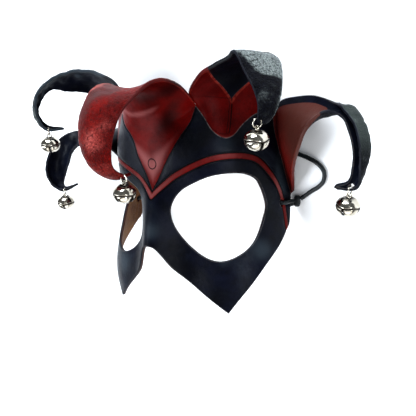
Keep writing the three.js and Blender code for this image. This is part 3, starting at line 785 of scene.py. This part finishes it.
def tie_route():
    clear = CORD_RADIUS + CORD_GAP
    shift = np.array([CENTRE[0], CENTRE[1], 0])

    def beside(across, offset):
        point, out = temple(across)
        return drawn(point + out * offset) / MM + shift

    turn, *strand = LOOP_ACROSS
    middle = -LEATHER / 2
    half = (clear - middle) * math.sqrt(0.5)
    shoulder = turn + (TIE_ACROSS - turn) * math.sqrt(0.5)
    points = [KNOT, *[beside(across, clear) for across in strand[::-1]], beside(turn, clear),
              beside(shoulder, middle + half), beside(TIE_ACROSS, middle), beside(shoulder, middle - half),
              beside(turn, -LEATHER - clear), beside(strand[0], -LEATHER - clear), *UNDER_EDGE, KNOT]
    return np.array(points, float)


def tie(name, mirror):
    """The loop through the temple, and the cord wrapped round it outside the edge."""
    loop, _ = strand_route(tie_route(), STRAND_POINTS)
    turns = np.linspace(0, KNOT_TURNS * 2 * math.pi, STRAND_POINTS)
    wrap = np.stack([KNOT[0] - 1.1 + KNOT_LENGTH * turns / turns[-1],
                     KNOT[1] + KNOT_HALF_WIDTH * np.cos(turns + 1.2),
                     KNOT[2] + KNOT_HALF_HEIGHT * np.sin(turns + 1.2)], 1)
    strands = []
    for number, line in enumerate((loop, wrap)):
        line = line * (MIRROR if mirror else 1)
        strands.append(round_curve(f"{name}_{number}", laid(line), (CORD_RADIUS - 0.05) * MM, lace))
    thing = as_mesh(strands)
    thing.name = f"{name}_strands"
    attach(thing, "root")
    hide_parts(name)
    return thing


ties = [tie("tie_left", False), tie("tie_right", True)]
other_end = [[-x, y, z] for x, y, z in CORD_END[::-1]]
route, cord_length = strand_route(CORD_END + CORD_MIDDLE + other_end, CORD_POINTS)
cord = round_curve("tie_cord_lace", laid(route), CORD_RADIUS * MM, lace)
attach(cord, "root")
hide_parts("tie_cord")


# The leather
ring, ring_corners = outline_ring()
hole_line = eye_ring(ring, ring_corners)
face, face_flat = face_grid(ring, hole_line)

FAR = 9.0
LINES = ("stripe", "border", "crease", "fold")
AMOUNTS = ("red", "tone", "dull", "painted", "brush", "lift", "back_red", "back_tone")
NOTHING = dict.fromkeys(LINES, FAR) | dict.fromkeys(AMOUNTS, 0)


def hump(value, centre, width):
    return np.exp(-(((value - centre) / width) ** 2))


def step_up(value, low, high):
    share = np.clip((value - low) / (high - low), 0, 1)
    return share * share * (3 - 2 * share)


def ripples(at, cross, start):
    """Uneven waves, from about -1 to 1."""
    broad = np.sin(8.3 * at + 5.1 * cross + start) * np.sin(3.1 * at - 7.3 * cross + 2 * start)
    middling = np.sin(13.7 * at - 9.1 * cross + 3 * start)
    fine = np.sin(21.3 * at + 15.7 * cross + start)
    return 0.5 * broad + 0.3 * middling + 0.2 * fine


# Places on the face painted pale as painted sheen on the black leather: across, height, how far they reach
# and how strong
PAINTED_SHEEN_SPOTS = [
    [75.7, -28.7, 9, 0.85], [104, 13, 8, 0.9], [103, 25, 7, 0.9], [106, 35, 6, 0.8],
    [54.9, 47, 9, 0.5], [80, 50, 7, 0.5], [3, -12, 7, 0.85], [50, -34, 5, 0.4],
    [-44, -43, 10, 0.9], [-58, -30, 7, 0.6], [-66, 45, 8, 0.6],
]


def red_short(height):
    """How far the wedge's red stops short of its edge on the wearer's right."""
    rise = (height - WEDGE_TIP[1]) / (CENTRE_NOTCH[1] - WEDGE_TIP[1])
    return RED_SHORT * hump(rise, RED_SHORT_RISE, RED_SHORT_SPREAD)


def border_relief(border):
    return -BORDER_CUT * hump(border, BORDER_GROOVE, GROOVE_SPREAD)


def face_values(side):
    """Values of the face's left half, or of its right one where side is -1."""
    across, height = face_flat.reshape(-1, 2).T
    stripe = np.minimum(apart_from_edge(face_flat, STRIPE), apart_from_edge(face_flat * [-1, 1], STRIPE))
    wedge = apart_from_edge(face_flat, WEDGE_EDGE)
    if side < 0:
        wedge = wedge + red_short(height)
    roots = np.minimum(apart_from_edge(face_flat, INNER_ROOT), apart_from_edge(face_flat, OUTER_ROOT))
    # The stripe's own paint is paler near its middle; the listed spots then add painted sheen.
    tone = hump(stripe, 0, 1.9) * (0.45 * hump(across, 0, 16))
    for x, y, reach, strength in PAINTED_SHEEN_SPOTS:
        tone = tone + strength * hump(np.hypot(across * side - x, height - y), 0, reach)
    values = {
        "red": np.maximum(STRIPE_PAINT - stripe, -np.minimum(wedge, roots)),
        # The fold value places a painted highlight along the horns' roots.
        "stripe": stripe, "border": wedge, "fold": roots, "tone": tone,
        "lift": border_relief(wedge) - STRIPE_CUT * hump(stripe, STRIPE_GROOVE, GROOVE_SPREAD),
    }
    return NOTHING | {name: value.reshape(face.shape[:2]) for name, value in values.items()}


def mirrored(grid, values):
    """A grid of the wearer's right side drawn from its mirror, with values that keep their points."""
    turned = {name: value[:, ::-1] if np.ndim(value) else value for name, value in values.items()}
    return (grid * MIRROR)[:, ::-1], turned


def thinning(rows):
    return np.linspace(LEATHER, TIP_LEATHER, rows)[:, None]


# Paint and relief of each horn: at counts its rows from the root, cross is 0 and 1 at its edges
def centre_paint(at, cross):
    # The front's tone is painted light and shade: a painted highlight along an arc over the fold at the
    # root, painted shade under the curl and painted sheen near the circle; it is also darker below the
    # arc's right end, just above the root's middle and towards the right side.
    arc = 0.74 + 1.2 * np.maximum(cross - 0.2, 0)
    front = (0.68 * hump(at, arc, 0.22) * (1 - 0.8 * step_up(cross, 0.55, 0.8))
             - 0.75 * hump(at, 0.35, 0.75) * hump(cross, 0.74, 0.13)
             - 0.45 * hump(at, 2.15, 0.55)
             - 0.4 * hump(at, 0.15, 0.35) * hump(cross, 0.42, 0.25)
             - 0.35 * step_up(cross, 0.6, 0.9) * step_up(at, 0.5, 1.2)
             + 0.85 * hump(at, -0.64, 0.26) * hump(cross, 0.5, 0.3))
    # The curl's back is painted light and shade: a sheen patch, a highlight at the top by one edge with
    # painted shade in the trough beside it, and a highlight line along that edge; it is also paler towards
    # the tip and near the other edge.
    curl = (0.75 * hump(at, 7.6, 0.6) * hump(cross, 0.6, 0.3)
            + 0.7 * hump(at, 5.0, 0.6) * hump(cross, 0, 0.2)
            - 0.8 * hump(at, 5.6, 0.35) * hump(cross, 0.2, 0.15)
            + 0.6 * hump(cross, 0, 0.07)
            + 0.45 * step_up(at, 8.0, 9.0)
            + 0.4 * hump(at, 6.6, 0.7) * hump(cross, 0.85, 0.2))
    return {
        "back_red": 1, "tone": front, "back_tone": curl,
        "lift": 0.25 * ripples(at, cross, 0.4) * step_up(at, 1.5, 3.0),
    }


def inner_limit(cross, slope):
    """Where the red ends: a V, deepest a little before the middle."""
    return 0.83 + np.where(cross < 0.47, slope * (0.47 - cross), 0.62 * slope * (cross - 0.47))


def inner_paint(at, cross, slope, brush, start, wave):
    limit = inner_limit(cross, slope)
    middle = 0.4 + 0.07 * np.clip(at / 0.7, 0, 1)
    crease = np.where(at < 0.95, (cross - middle) * (81 - 11 * at), FAR)
    return {
        "red": np.minimum((limit - at) * 6, at * 9), "crease": crease, "brush": brush,
        # The fold value draws a light line along the V where the red ends; the tone is painted shade on
        # the red's left half.
        "fold": (limit - at) * 9 - 0.5, "tone": -0.45 * hump(at, 0.9, 0.5) * hump(cross, 0.2, 0.15),
        "lift": (-CREASE_CUT * hump(crease, 0, 0.9) - 0.25 * hump(crease, CREASE_PAIR, 0.8)
                 + wave * ripples(at, cross, start) * step_up(at, 2.2, 3.6)),
    }


def inner_left_paint(at, cross):
    # The silver dry-brush at the curl's top is partly painted sheen; the smaller hump further along is a
    # painted sheen streak and the strip along the edge at cross 1 a painted highlight.
    end = 5.35 + 0.85 * step_up(cross, 0.02, 0.36)
    soft = 0.6 - 0.4 * step_up(cross, 0.25, 0.42)
    brush = (1.2 * step_up(at, 3.2, 4.8) * (1 - step_up(at, end - soft, end + 0.12))
             * (1 - 0.35 * step_up(cross, 0.5, 0.75))
             + 0.2 * hump(at, 7.6, 0.7) + 0.5 * hump(cross, 1, 0.08) + 0.03)
    return inner_paint(at, cross, 4.0, brush, 1.7, 0.25)


# Wrinkles of the far inner horn: the row each crosses, where between the edges, and how high
WRINKLES = [[3.6, 0.2, -0.7], [4.3, 0.25, 1.1], [4.65, 0.3, -1], [5.05, 0.4, 0.9], [5.5, 0.45, -0.8]]


def inner_right_paint(at, cross):
    brush = 0.4 * step_up(at, 5.4, 6.6)
    values = inner_paint(at, cross, 1.6, brush, 0.9, 0.5) | {"dull": step_up(at, 1.5, 2.3)}
    # Painted highlights on the far inner horn: a line along one edge, a glint, and a band across the curl.
    highlight_streaks = (1.3 * hump(cross, 0, 0.07) * step_up(at, 2.4, 3.2)
               + 1.2 * hump(at, 4.35, 0.2) * hump(cross, 0.22, 0.1)
               + hump(cross, 0.35 + 0.35 * (at - 5.5), 0.1) * hump(at, 6.3, 0.9))
    values["tone"] = values["tone"] + highlight_streaks
    for place, middle, high in WRINKLES:
        bent = place + 0.5 * (cross - middle)
        values["lift"] = values["lift"] + high * hump(at, bent, 0.17) * hump(cross, middle, 0.28)
    return values


def outer_left_paint(at, cross):
    red = np.minimum(np.minimum((cross - 0.06 - 0.045 * at) * 40, (3.8 - at) * 6), at * 9)
    return {
        # The dull value browns the red a little all over, and more further from the root as painted sheen.
        "red": red, "brush": 0.1, "dull": 0.3 + 0.65 * step_up(at, 0.6, 2.0),
        "back_tone": 1.15 * hump(at, 5.9, 1.4),
        "lift": 0.35 * ripples(at, cross, 2.3) * step_up(at, 3.2, 4.2),
    }


def outer_right_paint(at, cross):
    return {"brush": 0.18, "red": -at * 9, "lift": 0.35 * ripples(at, cross, 4.1) * step_up(at, 2.5, 4.0)}


def horn_values(row_at, columns, paint):
    at = row_at[:, None]
    return NOTHING | {"painted": np.clip(at * 2, 0, 1)} | paint(at, np.linspace(0, 1, columns)[None, :])


def centre_values(grid, row_at, wedge_flat):
    """The centre horn's values. Its first rows are the wedge, whose red ends at a border."""
    values = horn_values(row_at, grid.shape[1], centre_paint)
    rows = len(wedge_flat)
    wearers_right = np.arange(grid.shape[1]) <= grid.shape[1] // 2
    border = np.full(grid.shape[:2], -FAR)
    border[:rows] = -apart_from_edge(wedge_flat, WEDGE_EDGE).reshape(wedge_flat.shape[:2])
    border[:rows] += red_short(wedge_flat[..., 1]) * wearers_right
    return values | {"border": border, "red": -border, "lift": values["lift"] + border_relief(border)}


def ring_place(grid, row, edge_name):
    """Where a ring goes through a horn, near one edge of the strip and the tip."""
    strip = grid[row * FINE] if edge_name == "first" else grid[row * FINE][::-1]
    length = length_along(strip)
    pierced = at_length(strip, length, RING_INSET)
    column = int(np.searchsorted(length, RING_INSET))
    if edge_name == "second":
        column = grid.shape[1] - 1 - column
    down = unit(np.array(HANG))
    along = unit(grid[(row + 1) * FINE][column] - grid[(row - 1) * FINE][column])
    axis = unit(along - down * (along @ down))
    out = unit(strip[0] - pierced)
    lean = unit(out - axis * (out @ axis) + down)
    return pierced, pierced + lean * RING_RADIUS, axis, down


# The leather's grids, and each ring's place on its horn
sheet = Sheet()
sheet.add(face, LEATHER, face_values(1))
right_face, right_values = mirrored(face, face_values(-1))
sheet.add(right_face, LEATHER, right_values)
centre, row_at, wedge_flat = centre_horn_grid(ring)
sheet.add(centre, thinning(len(centre)), centre_values(centre, row_at, wedge_flat))
places = {"centre": ring_place(centre, WEDGE_ROWS + CENTRE_ROWS - 1, "second")}
for name, horn, root, paint in (
    ("inner_left", INNER_LEFT_HORN, 2, inner_left_paint),
    ("inner_right", INNER_RIGHT_HORN, 2, inner_right_paint),
    ("outer_left", OUTER_LEFT_HORN, 3, outer_left_paint),
    ("outer_right", OUTER_RIGHT_HORN, 3, outer_right_paint),
):
    lead = [0, ROOT_LEAD] if root == 2 else [ROOT_LEAD, 0]
    grid, row_at = side_horn_grid(horn, ring, ring_corners[root], EDGES[root][1], lead)
    values = horn_values(row_at, grid.shape[1], paint)
    edge_name = "first"
    if name.endswith("right"):
        grid, values = mirrored(grid, values)
        edge_name = "second"
    sheet.add(grid, thinning(len(grid)), values)
    places[name] = ring_place(grid, SIDE_ROWS - 1, edge_name)


def apart_in_space(points, rim):
    """Distance of each point from the nearest rim point."""
    tree = KDTree(len(rim))
    for number, index in enumerate(rim):
        tree.insert(points[index], number)
    tree.balance()
    return np.array([tree.find(point)[2] for point in points])


def put_values(thing, name, values):
    values = np.asarray(values, np.float32)
    thing.data.attributes.new(name, "FLOAT", "POINT").data.foreach_set("value", values)


# The cut edge's rows of points: their share of the depth and how far they stand out
EDGE_ROWS = [(0.14, 0), (0.5, 0.12), (0.86, 0)]
EDGE_INSET = 0.3


def without_holes(points, quads):
    """The quads that no ring and no tie goes through."""
    centres = points[quads].mean(1)
    keep = np.ones(len(quads), bool)
    for pierced, *_ in places.values():
        keep &= norm(centres - pierced, axis=1) > RING_HOLE_RADIUS
    hole_at, _ = temple(TIE_HOLE_ACROSS)
    for side in (1, -1):
        keep &= norm(centres - hole_at * [side, 1, 1], axis=1) > TIE_HOLE_RADIUS
    return quads[keep]


def open_sides(quads):
    """The quads' sides that no other quad shares."""
    sides = {}
    for quad in quads.tolist():
        for a, b in zip(quad, quad[1:] + quad[:1]):
            if a == b:
                continue
            if (b, a) in sides:
                del sides[b, a]
            else:
                sides[a, b] = True
    return list(sides)


def leather_mesh():
    """The grain side, the flesh side behind it and a rounded edge between them."""
    points, quads, values = sheet.joined()
    quads = without_holes(points, quads)
    rough = np.cross(points[quads[:, 2]] - points[quads[:, 0]], points[quads[:, 3]] - points[quads[:, 1]])
    normals = np.zeros_like(points)
    for corner in range(4):
        np.add.at(normals, quads[:, corner], rough)
    normals = units(normals)
    points = points + normals * values["lift"][:, None]
    sides = open_sides(quads)
    out = np.zeros_like(points)
    for a, b in sides:
        push = unit(np.cross(points[b] - points[a], normals[a] + normals[b]))
        out[a] += push
        out[b] += push
    out = units(out)
    rim = np.unique(np.array(sides).ravel())
    depth = values["depth"][:, None]
    grain_side = points - out * EDGE_INSET
    back_side = points - normals * depth - out * EDGE_INSET
    rim_rows = [points[rim] - normals[rim] * depth[rim] * share + out[rim] * push
                for share, push in EDGE_ROWS]
    laid_points = drawn(np.concatenate([grain_side, back_side, *rim_rows]))
    laid_points[:, 2] = np.maximum(laid_points[:, 2], 0)
    count = len(points)
    faces = [[i for j, i in enumerate(quad) if i != quad[j - 1]] for quad in quads.tolist()]
    faces = [quad for quad in faces if len(quad) > 2]
    whole = faces + [[i + count for i in quad[::-1]] for quad in faces]
    kinds = [0] * len(faces) + [1] * len(faces)
    order = np.full(count, -1)
    order[rim] = np.arange(len(rim))
    edge_rows = [2 * count + number * len(rim) + order for number in range(len(EDGE_ROWS))]
    levels = [np.arange(count), *edge_rows, np.arange(count) + count]
    for a, b in sides:
        for upper, lower in zip(levels[:-1], levels[1:]):
            whole.append([upper[b], upper[a], lower[a], lower[b]])
            kinds.append(2)
    thing = mesh_object("mask_leather_hide", laid_points, whole, [grain, back, edge])
    thing.data.polygons.foreach_set("material_index", kinds)
    values["rim"] = apart_in_space(points, rim)
    for name in (*LINES, "red", "tone", "dull", "painted", "brush", "rim"):
        front = values[name]
        behind = values.get("back_" + name, front)
        put_values(thing, name, np.concatenate([front, behind, *[front[rim]] * len(EDGE_ROWS)]))
    shares = [np.full(len(rim), share) for share, _ in EDGE_ROWS]
    put_values(thing, "depth_share", np.concatenate([np.zeros(count), np.ones(count), *shares]))
    return thing


hide = leather_mesh()
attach(hide, "root")
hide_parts("mask_leather")


# Rings and bells
def circle_points(centre, axis, radius):
    start = unit(np.cross(axis, [0.3, 0.2, 0.9]))
    other = np.cross(axis, start)
    turn = np.linspace(0, 2 * math.pi, WIRE_POINTS, endpoint=False)[:, None]
    return centre + radius * (np.cos(turn) * start + np.sin(turn) * other)


def wire_loop(name, centre, axis, radius):
    points = drawn(circle_points(centre, axis, radius))
    return as_mesh([round_curve(name, points, WIRE * MM, nickel, closed=True)])


def bell_point(rise, turn, inner):
    """A point of the bell's outer or inner skin: bulging petals below the seam, a dished eye on top."""
    wall = BELL_WALL * inner
    pinch = (1 - abs(math.sin(2 * turn))) ** 2
    lower = min(max(0.15 - math.sin(rise) * 2.2, 0), 1)
    radius = (BELL_RADIUS - wall) * math.cos(rise) ** 0.9 * (1 - BELL_PINCH * lower * pinch)
    z = (BELL_HALF_HEIGHT - wall) * math.sin(rise)
    if not inner:
        seam = BELL_SEAM - BELL_SEAM_WAVE * math.cos(4 * turn)
        radius += BELL_RIDGE * math.exp(-(((z - seam - BELL_RIDGE_UP) / 0.35) ** 2))
        radius -= BELL_GROOVE * math.exp(-(((z - seam + BELL_GROOVE_DOWN) / 0.42) ** 2))
        if z > 0:
            z -= BELL_DISH * math.exp(-((radius / BELL_DISH_RADIUS) ** 4))
    return (radius * math.cos(turn), radius * math.sin(turn), z)


def bell_shell():
    """The bell's two skins about Z, each of them closed."""
    sides, bands = 96, 56
    points = []
    for inner in (False, True):
        for band in range(1, bands):
            rise = math.pi * (band / bands - 0.5)
            for side in range(sides):
                points.append(bell_point(rise, 2 * math.pi * side / sides, inner))
    faces = []
    per = (bands - 1) * sides
    for inner in (0, 1):
        for band in range(bands - 2):
            for side in range(sides):
                row = inner * per + band * sides
                a, b = row + side, row + (side + 1) % sides
                quad = [a, b, b + sides, a + sides]
                faces.append(quad[::-1] if inner else quad)
    for inner in (0, 1):
        wall = BELL_WALL * inner
        for top in (0, 1):
            pole = len(points)
            height = BELL_HALF_HEIGHT - wall - (BELL_DISH if top and not inner else 0)
            points.append((0, 0, height if top else -height))
            row = inner * per + (bands - 2) * sides * top
            for side in range(sides):
                a, b = row + side, row + (side + 1) % sides
                triangle = [pole, a, b] if top else [pole, b, a]
                faces.append(triangle[::-1] if inner else triangle)
    return mesh_object("bell_shell", [tuple(x * MM for x in p) for p in points], faces, [nickel])


def cut_slot(shell, turn):
    """A slot right across the bell's lower half."""
    slot = bpy.data.meshes.new("slot")
    shape = bmesh.new()
    bmesh.ops.create_cube(shape, size=1.0)
    bmesh.ops.scale(shape, vec=(BELL_SLOT * MM, 20 * MM, 10 * MM), verts=shape.verts)
    bmesh.ops.translate(shape, vec=(0, 0, (BELL_SLOT_TOP - 5) * MM), verts=shape.verts)
    bmesh.ops.rotate(shape, matrix=Matrix.Rotation(turn, 3, "Z"), verts=shape.verts)
    shape.to_mesh(slot)
    shape.free()
    cutter = in_scene("slot", slot)
    cut = shell.modifiers.new("slot", "BOOLEAN")
    cut.operation = "DIFFERENCE"
    cut.object = cutter
    cut.solver = "EXACT"
    bpy.context.view_layer.objects.active = shell
    bpy.ops.object.modifier_apply(modifier=cut.name)
    bpy.data.objects.remove(cutter)


def tarnish_and_shade_at(x, y, z):
    """How dark the bell is painted, partly tarnish and partly painted shade: most inside it, in its seam
    and slots, and round its loop, where it also stands for a dark reflection.
    """
    radius = math.hypot(x, y)
    if radius**2 / (BELL_RADIUS - 0.45)**2 + z**2 / (BELL_HALF_HEIGHT - 0.45)**2 < 0.9:
        return 1
    slot_gap = min(abs(x), abs(y)) - BELL_SLOT / 2
    seam_gap = z - BELL_SEAM + BELL_GROOVE_DOWN + BELL_SEAM_WAVE * math.cos(4 * math.atan2(y, x))
    seam = math.exp(-((seam_gap / 0.75) ** 4))
    top = math.exp(-((radius / 3.9) ** 4)) if z > 0 else 0
    slot = math.exp(-((slot_gap / 0.45) ** 2)) if z < BELL_SLOT_TOP + 0.3 else 0
    return max(seam, top, slot)


def bell_mesh():
    shell = bell_shell()
    for turn in (0, math.pi / 2):
        cut_slot(shell, turn)
    put_values(shell, "tarnish_and_shade", [tarnish_and_shade_at(*(vertex.co / MM)) for vertex in shell.data.vertices])
    ready = shell.data
    bpy.data.objects.remove(shell)
    return ready


bell_ready = bell_mesh()
for name, (_, centre, axis, down) in places.items():
    wire = wire_loop(f"ring_{name}_wire", centre, axis, RING_RADIUS)
    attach(wire, "root")
    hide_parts(f"ring_{name}")
    drop = RING_RADIUS + LOOP_RADIUS - 2 * WIRE - WIRE_GAP + BELL_NECK + BELL_HALF_HEIGHT
    up = -down
    across = np.cross(up, axis)
    middle = centre + down * drop
    frame_turn = LAYING.to_3x3() @ Matrix((axis, across, up)).transposed()
    bell = in_scene(f"bell_{name}_shell", bell_ready.copy())
    bell.data.transform(Matrix.Translation(Vector(drawn(middle))) @ frame_turn.to_4x4())
    loop_at = middle + up * (BELL_HALF_HEIGHT + BELL_NECK)
    loop = wire_loop(f"bell_{name}_loop", loop_at, across, LOOP_RADIUS)
    for piece in (bell, loop):
        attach(piece, "root")
    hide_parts(f"bell_{name}")


# Table and light
TABLE_HALF = 6
white = Nodes("white_table")
cloudy = white.mix(white.noise(3, 2), (0.93, 0.93, 0.94, 1), (0.96, 0.96, 0.96, 1))
white.set(Base_Color=cloudy, Roughness=0.6)
corners = [(x * TABLE_HALF, y * TABLE_HALF, 0) for x, y in ((-1, -1), (1, -1), (1, 1), (-1, 1))]
table = mesh_object("table_top", corners, [(0, 1, 2, 3)], [white.material], smooth=False)

COOL = (0.88, 0.94, 1)
PLAIN = (1, 1, 1)
LIGHT_AIM = (0, 0, 0.05)

# Name, place, width and height, power and tint of each light
for name, place, size, power, tint in (
    ("ceiling", (-0.1, 1.9, 0.8), (1.4, 0.9), 56, COOL),
    ("front", (-0.95, -0.2, 1.8), (1.2, 1.2), 40, COOL),
    ("right", (1.6, -0.1, 1.15), (1.3, 0.5), 14, COOL),
    ("left", (-1.7, -0.2, 1.1), (0.8, 0.8), 6, COOL),
    ("low", (0.3, -1.8, 1.1), (2.6, 2.0), 25, PLAIN),
    ("fill", (1.5, 0.3, 1.9), (1.7, 1.7), 3.5, PLAIN),
):
    data = bpy.data.lights.new(name, "AREA")
    data.shape = "ELLIPSE"
    data.size, data.size_y = size
    data.energy = power
    data.color = tint
    light = in_scene(name, data)
    light.location = place
    light.rotation_euler = (Vector(LIGHT_AIM) - Vector(place)).to_track_quat("-Z", "Y").to_euler()

scene.view_settings.view_transform = "Standard"
scene.view_settings.look = "Medium High Contrast"
world = bpy.data.worlds.new("studio")
scene.world = world
world.use_nodes = True
background = world.node_tree.nodes["Background"]
background.inputs["Color"].default_value = (0.9, 0.95, 1, 1)
background.inputs["Strength"].default_value = 0.17
